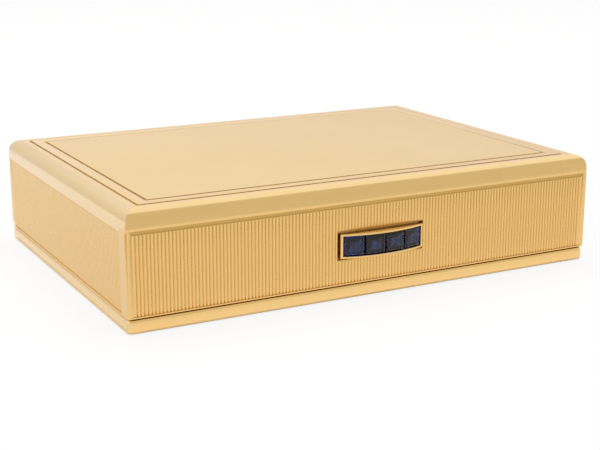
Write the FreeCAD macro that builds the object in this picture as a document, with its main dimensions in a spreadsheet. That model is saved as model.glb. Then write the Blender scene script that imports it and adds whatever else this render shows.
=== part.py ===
import FreeCAD, Part
import math
import os
import re

import Sketcher

# A gold table box: a deep hinged hood with reeded sides over a shallow plinth, opened by a
# stone-set push-piece in the front. The frame has +X to the right, +Y to the back and +Z up,
# with the origin at the middle of the underside. Lengths are in millimetres. An inset is a
# distance inwards from the nearest outer side face of the box.

SIZES = {
    "box_width": 127.0,
    "box_depth": 91.4,
    "box_height": 27.9,
    "corner_radius": 0.5,
    "plinth_height": 3.2,
    "plinth_corner_radius": 1.5,
    "plinth_edge_radius": 0.4,
    "seam_gap": 0.2,
    "floor_thickness": 1.2,
    "wall_thickness": 1.4,
    "rim_clearance": 0.3,
    "rim_thickness": 0.8,
    "rim_headroom": 0.9,
    "moulding_height": 4.1,
    "edge_radius": 3.1,
    "moulding_corner_radius": 0.5,
    "outer_line_inset": 4.9,
    "inner_line_inset": 8.3,
    "line_chamfer": 0.25,
    "top_thickness": 0.9,
    "ceiling_thickness": 1.0,
    "ceiling_inset": 2.4,
    "top_border": 1.5,
    "cove_height": 1.0,
    "lower_border": 0.7,
    "lower_bevel": 0.3,
    "panel_sink": 0.3,
    "panel_thickness": 0.6,
    "end_margin": 4.0,
    "field_margin": 1.5,
    "reed_pitch": 0.876,
    "reed_rise": 0.16,
    "barrel_radius": 1.1,
    "pin_radius": 0.5,
    "pin_clearance": 0.03,
    "hinge_setback": 0.3,
    "hinge_clearance": 0.25,
    "hinge_end_inset": 1.0,
    "knuckle_count": 11,
    "knuckle_gap": 0.1,
    "plug_thickness": 0.4,
    "push_offset": 1.1,
    "push_height": 13.1,
    "slot_width": 23.5,
    "slot_height": 6.6,
    "push_clearance": 0.3,
    "push_end_proud": 0.4,
    "push_bow": 2.0,
    "end_rail": 0.65,
    "long_rail": 0.55,
    "stone_depth": 1.6,
    "stone_count": 4,
    "stone_pavilion": 1.0,
    "stone_crown": 0.45,
    "stone_bevel": 0.75,
    "stone_taper": 0.35,
    "stone_gap": 0.05,
    "push_plate_overlap": 1.0,
    "push_plate_thickness": 0.6,
    "push_plate_play": 0.1,
    "push_boss_width": 8.0,
    "push_boss_height": 3.0,
    "leaf_width": 10.0,
    "leaf_thickness": 0.4,
    "leaf_play": 0.05,
    "hook_height": 0.6,
    "hook_window_clearance": 0.15,
    "catch_width": 18.0,
    "catch_lip": 2.3,
    "spring_block_width": 12.0,
    "spring_block_height": 3.0,
    "spring_block_drop": 2.2,
    "rivet_radius": 0.45,
    "rivet_head_radius": 0.9,
    "rivet_head_height": 0.35,
    "rivet_spacing": 6.0,
}

DERIVED = {
    "wall_bottom": "plinth_height + seam_gap",
    "wall_top": "box_height - moulding_height",
    "panel_top": "wall_top - top_border",
    "panel_bottom": "wall_bottom + lower_border",
    "back_panel_bottom": "hinge_height + notch_radius + lower_border",
    "panel_recess": "panel_sink + panel_thickness",
    "band_thickness": "wall_thickness + rim_clearance",
    "rim_inner": "band_thickness + rim_thickness",
    "top_underside": "box_height - top_thickness",
    "ceiling_underside": "top_underside - ceiling_thickness",
    "mitre_depth": "outer_line_inset + moulding_height",
    "hinge_line": "box_depth / 2 - hinge_setback",
    "hinge_height": "plinth_height + seam_gap / 2",
    "notch_radius": "barrel_radius + hinge_clearance",
    "hinge_end": "box_width / 2 - hinge_end_inset",
    "knuckle_pitch": "2 * hinge_end / knuckle_count",
    "bezel_half": "slot_width / 2 - push_clearance",
    "bezel_half_height": "slot_height / 2 - push_clearance",
    "plate_half_height": "bezel_half_height + push_plate_overlap",
    "rim_top": "push_height - plate_half_height - rim_headroom",
    "bow_radius": "(bezel_half ^ 2 + push_bow ^ 2) / (2 * push_bow)",
    "bow_centre": "-box_depth / 2 - push_end_proud - push_bow + bow_radius",
    "channel_half": "bezel_half - end_rail",
    "channel_half_height": "bezel_half_height - long_rail",
    "channel_radius": "bow_radius - stone_depth",
    "plate_front": "wall_thickness + push_plate_play",
    "plate_back": "plate_front + push_plate_thickness",
    "leaf_front": "rim_inner + rim_clearance",
    "leaf_back": "leaf_front + leaf_thickness",
    "spring_block_top": "ceiling_underside - spring_block_drop",
    "spring_block_bottom": "spring_block_top - spring_block_height",
    "hook_top": "rim_top - catch_lip - hook_window_clearance",
    "hook_bottom": "hook_top - hook_height",
    "push_left": "push_offset - bezel_half",
    "push_right": "push_offset + bezel_half",
}

# Each side of the box: the plane across it, the sign of its outward direction, the box's size
# across and along it, and its turn about Z from the front.
SIDES = {
    "front": ("YZ_Plane", "-1", "box_depth", "box_width", 0),
    "back": ("YZ_Plane", "1", "box_depth", "box_width", 180),
    "left": ("XZ_Plane", "-1", "box_width", "box_depth", -90),
    "right": ("XZ_Plane", "1", "box_width", "box_depth", 90),
}

# The sunk field of each side: its lower end, the height of the slope above it, and its margins.
# The two margins of a short side are its near and its far one.
FIELDS = {
    "front": ("panel_bottom", "cove_height", "field_margin", "field_margin"),
    "back": ("back_panel_bottom", "cove_height", "field_margin", "field_margin"),
    "left": ("panel_bottom", "lower_bevel", "end_margin", "field_margin"),
    "right": ("panel_bottom", "lower_bevel", "end_margin", "field_margin"),
}

UP = FreeCAD.Vector(0, 0, 1)
ALONG_X = FreeCAD.Rotation(FreeCAD.Vector(0, 1, 0), 90)
ALONG_Y = FreeCAD.Rotation(FreeCAD.Vector(1, 0, 0), -90)

doc = FreeCAD.newDocument("reeded_box")
params = doc.addObject("Spreadsheet::Sheet", "params")
for row, (alias, size) in enumerate(SIZES.items(), 1):
    params.set(f"A{row}", alias)
    params.set(f"B{row}", str(size))
    params.setAlias(f"B{row}", alias)
reader = doc.addObject("App::FeaturePython", "reader")
doc.recompute()

nodes = []


def formula(text):
    """Spell a size in the sheet's aliases, with the derived sizes opened up."""
    def spell(match):
        word = match.group()
        if word in DERIVED:
            return "(" + formula(DERIVED[word]) + ")"
        return "params." + word if word in SIZES else word
    return re.sub(r"[a-z_]+", spell, text)


def value(text):
    """The number, in millimetres or degrees, that a size comes to."""
    result = reader.evalExpression(formula(text))
    return float(getattr(result, "Value", result))


def bind(thing, sizes):
    """Tie properties of an object to sizes of the sheet."""
    for path, text in sizes.items():
        thing.setExpression(path, formula(text))
    return thing


def node(thing, label):
    """Mark an object as a finished piece and give it its name."""
    thing.Label = label
    nodes.append(thing)
    return thing


def block(name, x_range, y_range, z_range):
    """A box between two sizes on each axis."""
    thing = doc.addObject("Part::Box", name)
    sides = zip("xyz", ("Length", "Width", "Height"), (x_range, y_range, z_range))
    for axis, length, (low, high) in sides:
        bind(thing, {length: f"({high}) - ({low})", f"Placement.Base.{axis}": low})
    return thing


def rod(name, turn, radius, length, base):
    """A cylinder of a radius and length from a base point, along the turned Z axis."""
    thing = doc.addObject("Part::Cylinder", name)
    thing.Placement = FreeCAD.Placement(FreeCAD.Vector(), turn)
    bind(thing, {"Radius": radius, "Height": length})
    return bind(thing, {f"Placement.Base.{axis}": place for axis, place in zip("xyz", base)})


def cut(name, base, *tools):
    """The base with each tool taken away."""
    for index, tool in enumerate(tools):
        thing = doc.addObject("Part::Cut", f"{name}_cut_{index}")
        thing.Base = base
        thing.Tool = tool
        base = thing
    return base


def join(name, *pieces):
    """One solid of several that touch or overlap."""
    thing = doc.addObject("Part::MultiFuse", name)
    thing.Shapes = list(pieces)
    return thing


def overlap(name, *pieces):
    """The space that all the pieces share."""
    thing = doc.addObject("Part::MultiCommon", name)
    thing.Shapes = list(pieces)
    return thing


def group(name, pieces):
    """Several separate solids as one object."""
    thing = doc.addObject("Part::Compound", name)
    thing.Links = list(pieces)
    return thing


def fix(sketch, kind, *args):
    """Add a constraint whose last argument is a size, tied to the sheet."""
    index = sketch.addConstraint(Sketcher.Constraint(kind, *args[:-1], value(args[-1])))
    sketch.setExpression(f"Constraints[{index}]", formula(args[-1]))


def draw_loop(sketch, corners):
    """Draw a closed loop. A corner with a centre and radius after its place starts an arc."""
    places = [FreeCAD.Vector(value(corner[0]), value(corner[1]), 0) for corner in corners]
    strokes = []
    for index, corner in enumerate(corners):
        start = places[index]
        stop = places[(index + 1) % len(corners)]
        if len(corner) == 2:
            strokes.append((sketch.addGeometry(Part.LineSegment(start, stop), False), 1, 2))
            continue
        centre = FreeCAD.Vector(value(corner[2]), value(corner[3]), 0)
        first = math.atan2(start.y - centre.y, start.x - centre.x)
        last = math.atan2(stop.y - centre.y, stop.x - centre.x)
        sweep = (last - first) % (2 * math.pi)
        forward = sweep < math.pi
        angles = (first, first + sweep) if forward else (last, last + 2 * math.pi - sweep)
        circle = Part.Circle(centre, UP, value(corner[4]))
        stroke = sketch.addGeometry(Part.ArcOfCircle(circle, *angles), False)
        strokes.append((stroke, 1, 2) if forward else (stroke, 2, 1))
        fix(sketch, "Radius", stroke, corner[4])
    for (stroke, _, end), (after, begin, _) in zip(strokes, strokes[1:] + strokes[:1]):
        sketch.addConstraint(Sketcher.Constraint("Coincident", stroke, end, after, begin))
    for (stroke, begin, _), corner in zip(strokes, corners):
        fix(sketch, "DistanceX", -1, 1, stroke, begin, corner[0])
        fix(sketch, "DistanceY", -1, 1, stroke, begin, corner[1])


def padded_body(name, plane, loops, length, symmetric=True):
    """A body padded from closed loops on one of its own origin planes."""
    body = doc.addObject("PartDesign::Body", name)
    sketch = body.newObject("Sketcher::SketchObject", name + "_sketch")
    support = [feature for feature in body.Origin.OriginFeatures if feature.Role == plane]
    sketch.AttachmentSupport = [(support[0], "")]
    sketch.MapMode = "FlatFace"
    for corners in loops:
        draw_loop(sketch, corners)
    pad = body.newObject("PartDesign::Pad", name + "_pad")
    pad.Profile = sketch
    pad.SideType = "Symmetric" if symmetric else "One side"
    bind(pad, {"Length": length})
    doc.recompute()
    return body


def dress(body, kind, size_name, size, chosen):
    """Fillet or chamfer the edges of a body's last feature that a test chooses."""
    base = body.Tip
    names = [f"Edge{index}" for index, edge in enumerate(base.Shape.Edges, 1) if chosen(edge)]
    feature = body.newObject(kind, f"{body.Name}_{kind[12:].lower()}_{len(body.Group)}")
    feature.Base = (base, names)
    bind(feature, {size_name: size})
    doc.recompute()
    return body


def is_upright(edge):
    """True for an edge along Z."""
    ends = [vertex.Point for vertex in edge.Vertexes]
    return len(ends) == 2 and (ends[1] - ends[0]).cross(UP).Length < 1e-6


def lies_at(height):
    """A test for edges that lie flat at a height of a body's own frame."""
    level = value(height)
    return lambda edge: all(abs(vertex.Point.z - level) < 1e-6 for vertex in edge.Vertexes)


def rectangle(half_x, half_y):
    """The corners of a rectangle about the origin."""
    signs = ((-1, -1), (1, -1), (1, 1), (-1, 1))
    return [(f"{sign_x} * ({half_x})", f"{sign_y} * ({half_y})") for sign_x, sign_y in signs]


def footprint(inset):
    """The box's outline in plan, drawn in by an inset."""
    return rectangle(f"box_width / 2 - ({inset})", f"box_depth / 2 - ({inset})")


def inner_block(name, inset, low, high):
    """A plain box over the footprint at an inset."""
    half_x = f"box_width / 2 - ({inset})"
    half_y = f"box_depth / 2 - ({inset})"
    return block(name, (f"-({half_x})", half_x), (f"-({half_y})", half_y), (low, high))


def rounded_block(name, low, high, radius):
    """A box over the whole footprint with its upright edges rounded."""
    body = padded_body(name, "XY_Plane", [footprint("0")], f"({high}) - ({low})", symmetric=False)
    bind(body, {"Placement.Base.z": low})
    return dress(body, "PartDesign::Fillet", "Radius", radius, is_upright)


def across(side, inset):
    """The coordinate, across a side, of an inset from its face."""
    _, sign, reach, *_ = SIDES[side]
    return f"{sign} * ({reach} / 2 - ({inset}))"


def make_mitre(side):
    """The wedge of space that a side's pieces keep between their two mitres."""
    _, _, reach, along, turn = SIDES[side]
    wedge = doc.addObject("Part::Wedge", f"mitre_{side}")
    outer = f"{along} / 2 + moulding_height"
    inner = f"{along} / 2 - mitre_depth"
    bind(wedge, {"Ymin": f"-({reach} / 2 + moulding_height)", "Ymax": f"-({reach} / 2 - mitre_depth)"})
    bind(wedge, {"Xmin": f"-({outer})", "Xmax": outer, "X2min": f"-({inner})", "X2max": inner})
    bind(wedge, {"Zmin": "-moulding_height", "Z2min": "-moulding_height"})
    bind(wedge, {"Zmax": "box_height + moulding_height", "Z2max": "box_height + moulding_height"})
    wedge.Placement = FreeCAD.Placement(FreeCAD.Vector(), FreeCAD.Rotation(UP, turn))
    return wedge


def make_ring_sides(kind, ring, mitres):
    """Cut a ring at its mitres into four pieces, one for each side."""
    for side, mitre in mitres.items():
        node(overlap(f"{kind}_{side}", ring, mitre), f"{kind}_{side}")


def field_run(side):
    """The length of a side's sunk field, and how far back its middle lies from the side's own."""
    along = SIDES[side][3]
    _, _, near, far = FIELDS[side]
    return f"{along} - {near} - {far}", f"({near} - {far}) / 2"


def make_recess(side):
    """The sunk field of one wall: a bevel below, a flat bed for the reeding and a slope above."""
    plane = SIDES[side][0]
    bottom, slope, *_ = FIELDS[side]
    length, shift = field_run(side)
    profile = [
        (across(side, "-panel_sink"), f"{bottom} - lower_bevel"),
        (across(side, "0"), f"{bottom} - lower_bevel"),
        (across(side, "panel_sink"), bottom),
        (across(side, "panel_recess"), bottom),
        (across(side, "panel_recess"), "panel_top"),
        (across(side, "panel_sink"), "panel_top"),
        (across(side, "0"), f"panel_top + {slope}"),
        (across(side, "-panel_sink"), f"panel_top + {slope}"),
    ]
    recess = padded_body(f"recess_{side}", plane, [profile], length)
    return bind(recess, {"Placement.Base.y": shift})


def make_reeding(side):
    """A plate whose face is a row of round upright reeds."""
    _, _, reach, _, turn = SIDES[side]
    bottom = FIELDS[side][0]
    run, shift = field_run(side)
    length = value(run)
    count = round(length / value("reed_pitch"))
    pitch = length / count
    crest = -value(f"{reach} / 2 - panel_sink")
    valley = crest + value("reed_rise")
    bed = -value(f"{reach} / 2 - panel_recess")
    marks = [-length / 2 + index * pitch for index in range(count + 1)]
    edges = []
    for start, stop in zip(marks, marks[1:]):
        middle = FreeCAD.Vector((start + stop) / 2, crest, 0)
        arc = Part.Arc(FreeCAD.Vector(start, valley, 0), middle, FreeCAD.Vector(stop, valley, 0))
        edges.append(arc.toShape())
    rim = [(marks[-1], valley), (marks[-1], bed), (marks[0], bed), (marks[0], valley)]
    points = [FreeCAD.Vector(x, y, 0) for x, y in rim]
    edges += [Part.makeLine(start, stop) for start, stop in zip(points, points[1:])]
    plate = doc.addObject("Part::Feature", f"reeding_{side}")
    face = Part.Face(Part.Wire(edges))
    plate.Shape = face.extrude(FreeCAD.Vector(0, 0, value(f"panel_top - ({bottom})")))
    place = FreeCAD.Vector(0, value(shift), value(bottom))
    plate.Placement = FreeCAD.Placement(place, FreeCAD.Rotation(UP, turn))
    return plate


def make_moulding(side):
    """A length of edge moulding: a flat band, a quarter round and an upright face above the wall."""
    plane, _, _, along, _ = SIDES[side]
    round_centre = (across(side, "edge_radius"), "box_height - edge_radius", "edge_radius")
    profile = [
        (across(side, "outer_line_inset"), "top_underside"),
        (across(side, "outer_line_inset"), "box_height - line_chamfer"),
        (across(side, "outer_line_inset - line_chamfer"), "box_height"),
        (across(side, "edge_radius"), "box_height") + round_centre,
        (across(side, "0"), "box_height - edge_radius"),
        (across(side, "0"), "wall_top"),
        (across(side, "wall_thickness"), "wall_top"),
        (across(side, "ceiling_inset"), "ceiling_underside"),
        (across(side, "ceiling_inset"), "top_underside"),
    ]
    return padded_body(f"moulding_{side}", plane, [profile], along)


def make_plinth(mitres, hinge_notch):
    """The base: a floor sheet, a plain band round it and the rim that locates the hood."""
    outer = rounded_block("plinth_block", "0", "plinth_height", "plinth_corner_radius")
    dress(outer, "PartDesign::Fillet", "Radius", "plinth_edge_radius", lies_at("0"))
    well = inner_block("plinth_well", "band_thickness", "-plinth_height", "2 * plinth_height")
    make_ring_sides("plinth", cut("plinth_ring", outer, well, hinge_notch), mitres)
    node(inner_block("floor", "band_thickness", "0", "floor_thickness"), "floor_plate")

    rim_block = inner_block("rim_block", "band_thickness", "floor_thickness", "rim_top")
    rim_well = inner_block("rim_well", "rim_inner", "0", "2 * rim_top")
    catch_span = ("push_offset - catch_width / 2", "push_offset + catch_width / 2")
    catch_depth = (across("front", "band_thickness"), across("front", "rim_inner"))
    catch_gap = block("catch_gap", catch_span, catch_depth, ("floor_thickness", "rim_top"))
    make_ring_sides("rim", cut("rim_ring", rim_block, rim_well, catch_gap), mitres)

    catch_block = block("catch_block", catch_span, catch_depth, ("floor_thickness", "rim_top"))
    half_window = "(leaf_width / 2 + rim_clearance)"
    window = block(
        "catch_window",
        (f"push_offset - {half_window}", f"push_offset + {half_window}"),
        catch_depth,
        ("hook_bottom - 2 * hook_window_clearance", "hook_top + hook_window_clearance"),
    )
    node(cut("catch", catch_block, window), "catch_plate")


def make_hinge():
    """Knuckles by turns on the base and the hood, one pin through them and a plug at each end."""
    length = "2 * hinge_end"
    start = ("-hinge_end", "hinge_line", "hinge_height")
    barrel = rod("barrel", ALONG_X, "barrel_radius", length, start)
    pin_hole = rod("pin_hole", ALONG_X, "pin_radius + pin_clearance", length, start)
    web_x = ("-hinge_end", "hinge_end")
    web_y = ("hinge_line - barrel_radius + hinge_clearance", "box_depth / 2")
    webs = {
        "base": block("base_web", web_x, web_y, ("hinge_height - notch_radius", "hinge_height")),
        "lid": block("lid_web", web_x, web_y, ("hinge_height", "hinge_height + notch_radius")),
    }
    slab_y = ("hinge_line - 2 * notch_radius", "hinge_line + 2 * notch_radius")
    slab_z = ("hinge_height - 2 * notch_radius", "hinge_height + 2 * notch_radius")
    knuckles = {"base": [], "lid": []}
    bars = {}
    for name, web in webs.items():
        bars[name] = cut(f"{name}_bar", join(f"{name}_barrel", barrel, web), pin_hole)
    for index in range(round(value("knuckle_count"))):
        owner = ("base", "lid")[index % 2]
        low = f"-hinge_end + {index} * knuckle_pitch + knuckle_gap / 2"
        high = f"{low} + knuckle_pitch - knuckle_gap"
        slab = block(f"knuckle_slab_{index}", (low, high), slab_y, slab_z)
        knuckles[owner].append(overlap(f"knuckle_{index}", bars[owner], slab))
    node(group("base_knuckle_group", knuckles["base"]), "base_knuckles")
    node(group("lid_knuckle_group", knuckles["lid"]), "lid_knuckles")
    node(rod("pin", ALONG_X, "pin_radius", length, start), "hinge_pin")
    plugs = []
    for side, end in (("left", "-hinge_end - plug_thickness"), ("right", "hinge_end")):
        plug = rod(f"plug_{side}", ALONG_X, "barrel_radius", "plug_thickness", (end,) + start[1:])
        plugs.append(plug)
    node(group("plug_group", plugs), "pin_plugs")


def make_hood(mitres, hinge_notch, push_slot):
    """The hood: four mitred walls with reeding let in, a moulded edge and a three-part top."""
    shell = rounded_block("wall_block", "wall_bottom", "wall_top", "corner_radius")
    hollow = inner_block("hood_hollow", "wall_thickness", "0", "2 * box_height")
    recesses = [make_recess(side) for side in SIDES]
    make_ring_sides("wall", cut("wall_ring", shell, hollow, hinge_notch, push_slot, *recesses), mitres)

    for side in SIDES:
        reeding = make_reeding(side)
        if side == "front":
            reeding = cut("reeding_slot", reeding, push_slot)
        node(reeding, f"reeded_{side}")

    plan = rounded_block("moulding_plan", "0", "2 * box_height", "moulding_corner_radius")
    for side, mitre in mitres.items():
        node(overlap(f"edge_{side}", make_moulding(side), plan, mitre), f"edge_moulding_{side}")

    node(inner_block("ceiling", "ceiling_inset", "ceiling_underside", "top_underside"), "lid_plate")
    fillet = padded_body(
        "fillet_band",
        "XY_Plane",
        [footprint("outer_line_inset"), footprint("inner_line_inset")],
        "top_thickness",
        symmetric=False,
    )
    field = [footprint("inner_line_inset")]
    panel = padded_body("field", "XY_Plane", field, "top_thickness", symmetric=False)
    for body, label in ((fillet, "fillet_frame"), (panel, "top_panel")):
        dress(body, "PartDesign::Chamfer", "Size", "line_chamfer", lies_at("top_thickness"))
        node(bind(body, {"Placement.Base.z": "top_underside"}), label)


def make_push_piece():
    """The push-piece: a bowed bezel with a row of stones, and the plate that keeps it in its slot."""
    front = "-box_depth / 2 - push_end_proud"
    bow = ("push_offset", "bow_centre", "bow_radius")
    outline = [
        ("push_left", across("front", "plate_front")),
        ("push_right", across("front", "plate_front")),
        ("push_right", front) + bow,
        ("push_left", front),
    ]
    bezel = padded_body("bezel", "XY_Plane", [outline], "2 * bezel_half_height", symmetric=False)
    bind(bezel, {"Placement.Base.z": "push_height - bezel_half_height"})

    left = "push_offset - channel_half"
    right = "push_offset + channel_half"
    ahead = "bow_centre - bow_radius - stone_depth"
    bed_end = "bow_centre - sqrt(channel_radius ^ 2 - channel_half ^ 2)"
    bed = ("push_offset", "bow_centre", "channel_radius")
    channel = padded_body(
        "stone_channel",
        "XY_Plane",
        [[(left, ahead), (right, ahead), (right, bed_end) + bed, (left, bed_end)]],
        "2 * channel_half_height",
        symmetric=False,
    )
    bind(channel, {"Placement.Base.z": "push_height - channel_half_height"})

    plate_x = ("push_left - push_plate_overlap", "push_right + push_plate_overlap")
    plate_z = ("push_height - plate_half_height", "push_height + plate_half_height")
    plate_y = (across("front", "plate_front"), across("front", "plate_back"))
    boss = block(
        "push_boss",
        ("push_offset - push_boss_width / 2", "push_offset + push_boss_width / 2"),
        (across("front", "plate_back"), across("front", "leaf_front - leaf_play")),
        ("push_height - push_boss_height / 2", "push_height + push_boss_height / 2"),
    )
    plate = join("push_plate_blank", block("push_sheet", plate_x, plate_y, plate_z), boss)
    reach = "(bezel_half - rivet_spacing / 2)"
    spots = [(f"push_offset + {side} * {reach}", "push_height") for side in (-1, 1)]
    rivets, holes = make_rivets("push", spots, "panel_recess", "plate_back")
    node(cut("bezel_blank", bezel, channel, *holes), "push_bezel")
    node(cut("push_plate_shape", plate, *holes), "push_plate")
    node(rivets, "plate_rivets")
    make_stones()


def make_stones():
    """Square step-cut stones, side by side round the bow, each with its back on the channel's bed."""
    count = round(value("stone_count"))
    half_z = "channel_half_height - stone_gap"
    angle_step = 2 * math.asin(value("channel_half / bow_radius")) / count
    girdle = value("channel_radius + stone_pavilion")
    half_width = girdle * math.tan(angle_step / 2) - value("stone_gap")
    levels = {
        "pavilion": ("channel_radius", "stone_pavilion", "stone_taper", "0"),
        "crown": ("channel_radius + stone_pavilion", "stone_crown", "0", "stone_bevel"),
    }
    centre = FreeCAD.Vector(value("push_offset"), value("bow_centre"), value("push_height"))
    for index in range(count):
        layers = []
        for level, (base, rise, back_inset, front_inset) in levels.items():
            wedge = doc.addObject("Part::Wedge", f"stone_{level}_{index}")
            bind(wedge, {"Ymin": f"-({base} + {rise})", "Ymax": f"-({base})"})
            bind(wedge, {"Zmin": f"-({half_z} - {front_inset})", "Zmax": f"{half_z} - {front_inset}"})
            bind(wedge, {"Z2min": f"-({half_z} - {back_inset})", "Z2max": f"{half_z} - {back_inset}"})
            half_x = f"{half_width} - {front_inset}"
            half_x2 = f"{half_width} - {back_inset}"
            bind(wedge, {"Xmin": f"-({half_x})", "Xmax": half_x})
            bind(wedge, {"X2min": f"-({half_x2})", "X2max": half_x2})
            layers.append(wedge)
        stone = join(f"stone_{index}", *layers)
        turn = math.degrees(angle_step) * (index - (count - 1) / 2)
        stone.Placement = FreeCAD.Placement(centre, FreeCAD.Rotation(UP, turn))
        node(stone, f"sapphire_{index + 1}")


def make_rivets(name, spots, front, back):
    """A pair of headed rivets from one inset to another behind the front wall, and their holes."""
    length = f"({back}) - ({front})"
    rivets = []
    holes = []
    for index, (x, z) in enumerate(spots):
        base = (x, across("front", front), z)
        shank = rod(f"{name}_shank_{index}", ALONG_Y, "rivet_radius", length, base)
        head = rod(
            f"{name}_head_{index}",
            ALONG_Y,
            "rivet_head_radius",
            "rivet_head_height",
            (x, across("front", back), z),
        )
        rivets.append(join(f"{name}_rivet_{index}", shank, head))
        holes.append(rod(f"{name}_hole_{index}", ALONG_Y, "rivet_radius + pin_clearance", length, base))
    return group(f"{name}_rivet_group", rivets), holes


def make_latch_spring():
    """A leaf spring riveted high inside the front wall, with a hook that enters the catch plate."""
    hook_tip = "band_thickness + rim_clearance / 2"
    profile = [
        (across("front", "leaf_back"), "spring_block_top"),
        (across("front", "leaf_front"), "spring_block_top"),
        (across("front", "leaf_front"), "hook_top"),
        (across("front", hook_tip), "hook_top"),
        (across("front", hook_tip), "hook_bottom + hook_height / 2"),
        (across("front", "leaf_front"), "hook_bottom"),
        (across("front", "leaf_back"), "hook_bottom"),
    ]
    leaf = padded_body("leaf", "YZ_Plane", [profile], "leaf_width")
    bind(leaf, {"Placement.Base.x": "push_offset"})
    seat = block(
        "spring_seat",
        ("push_offset - spring_block_width / 2", "push_offset + spring_block_width / 2"),
        (across("front", "wall_thickness"), across("front", "leaf_front")),
        ("spring_block_bottom", "spring_block_top"),
    )
    middle = "spring_block_bottom + spring_block_height / 2"
    spots = [(f"push_offset + {side} * rivet_spacing / 2", middle) for side in (-1, 1)]
    rivets, holes = make_rivets("spring", spots, "wall_thickness", "leaf_back")
    node(cut("leaf_drilled", leaf, *holes), "latch_spring")
    node(cut("seat_drilled", seat, *holes), "spring_block")
    node(rivets, "spring_rivets")


def main():
    """Build every piece, check them all and write one STEP file for each."""
    mitres = {side: make_mitre(side) for side in SIDES}
    beyond = "box_width / 2 + moulding_height"
    hinge_notch = block(
        "hinge_notch",
        (f"-({beyond})", beyond),
        ("hinge_line - notch_radius", "box_depth / 2 + moulding_height"),
        ("hinge_height - notch_radius", "hinge_height + notch_radius"),
    )
    push_slot = block(
        "push_slot",
        ("push_offset - slot_width / 2", "push_offset + slot_width / 2"),
        ("-box_depth / 2 - moulding_height", across("front", "rim_inner")),
        ("push_height - slot_height / 2", "push_height + slot_height / 2"),
    )
    make_plinth(mitres, hinge_notch)
    make_hinge()
    make_hood(mitres, hinge_notch, push_slot)
    make_push_piece()
    make_latch_spring()
    doc.recompute()

    for thing in doc.Objects:
        if {"Invalid", "Error"} & set(thing.State):
            raise RuntimeError(f"{thing.Name} failed: {thing.State}")
    for thing in nodes:
        if thing.Shape.isNull() or not thing.Shape.isValid() or not thing.Shape.Solids:
            raise RuntimeError(f"{thing.Label} has no valid solid")

    os.makedirs("parts", exist_ok=True)
    for thing in nodes:
        thing.Shape.exportStep(f"parts/{thing.Label}.step")
        print(f"{thing.Label}: {len(thing.Shape.Solids)} solids, {thing.Shape.Volume:.2f} mm3")
    print(f"{len(nodes)} nodes, {sum(thing.Shape.Volume for thing in nodes):.1f} mm3 in all")


main()
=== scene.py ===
import math

import bmesh
import bpy
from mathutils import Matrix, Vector


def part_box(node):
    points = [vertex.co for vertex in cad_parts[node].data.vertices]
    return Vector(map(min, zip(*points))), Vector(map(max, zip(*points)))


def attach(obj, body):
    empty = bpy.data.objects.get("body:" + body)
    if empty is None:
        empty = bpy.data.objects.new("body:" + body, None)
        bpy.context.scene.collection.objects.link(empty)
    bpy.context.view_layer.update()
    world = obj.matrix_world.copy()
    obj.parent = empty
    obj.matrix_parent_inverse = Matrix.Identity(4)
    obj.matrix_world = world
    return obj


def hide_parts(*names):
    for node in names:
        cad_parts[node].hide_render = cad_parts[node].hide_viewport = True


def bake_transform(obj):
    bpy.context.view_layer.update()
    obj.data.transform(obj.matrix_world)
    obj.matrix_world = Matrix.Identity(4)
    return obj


# The looks of a gold table box with reeded sides and a stone-set push-piece. Lengths are in
# metres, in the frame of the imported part: +X to the right, +Y to the back and +Z up. An inset
# is a distance inwards from the nearest outer side face of the box.

MM = 0.001
UP = Vector((0.0, 0.0, 1.0))

# The camera, where a fit to the photograph's edges puts it.
CAMERA_PLACE = (-0.15242, -0.29303, 0.09474)
CAMERA_AZIMUTH = -27.98
CAMERA_ELEVATION = 14.99
CAMERA_LENS = 75.63
CAMERA_CLIP = (0.01, 20.0)
SENSOR_WIDTH = 36.0

# Linear colours.
GOLD = (0.95, 0.69, 0.34)
# The near post's darker gold is a painted reflection tone.
POST_REFLECTION_TONE = (0.90, 0.61, 0.25)
SATIN_GOLD = (0.92, 0.69, 0.36)
# The next three tones are painted shade together with tarnish and grime, which a metal darkens to
# where its surface is enclosed: a mild one, a near-black one for deep crevices and gaps, and a
# paler one for the lined and satin top.
SHADE_AND_TARNISH = (0.80, 0.57, 0.25)
SHADE_AND_GRIME = (0.16, 0.09, 0.035)
LINE_SHADE_AND_GRIME = (0.74, 0.52, 0.27)
# Painted shade in coves, engraved lines and the slot's mouth.
HOLLOW_SHADE = (0.66, 0.44, 0.16)
# Painted near-black shade in the slot and the bezel's channel.
SLOT_SHADE = (0.02, 0.01, 0.004)
REED_CREST = (0.95, 0.67, 0.31)
# Painted shade in the reeds' valleys.
REED_VALLEY_SHADE = (0.74, 0.46, 0.17)
STEEL = (0.50, 0.49, 0.47)
# The steel's painted shade and tarnish where it is enclosed.
STEEL_SHADE_AND_TARNISH = (0.1, 0.09, 0.08)
GLASS_DEEP = (0.55, 0.66, 0.92)
GLASS_PALE = (0.75, 0.84, 1.0)
# Bright blue back facets paint the stones' inner flashes.
BLUE_FLASH_BACK = ((0.012, 0.07, 0.30), (0.05, 0.27, 0.80))
NAVY_BACK = ((0.014, 0.017, 0.035), (0.030, 0.045, 0.11))
FLOOR_COLOUR = (0.90, 0.895, 0.885)
WHITE = (1.0, 1.0, 1.0, 1.0)

# Each metal's grain, as how far it is drawn out along the axes and its scale.
EVEN_GRAIN = ((1.0, 1.0, 1.0), 400.0)
SATIN_GRAIN = ((1.0, 12.0, 1.0), 900.0)
SPRING_GRAIN = ((1.0, 1.0, 12.0), 900.0)
REED_GRAIN = ((1.0, 1.0, 0.15), 1500.0)
CLOUD_VARIATION = 0.03
ENCLOSURE_REACH = 0.6 * MM

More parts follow.
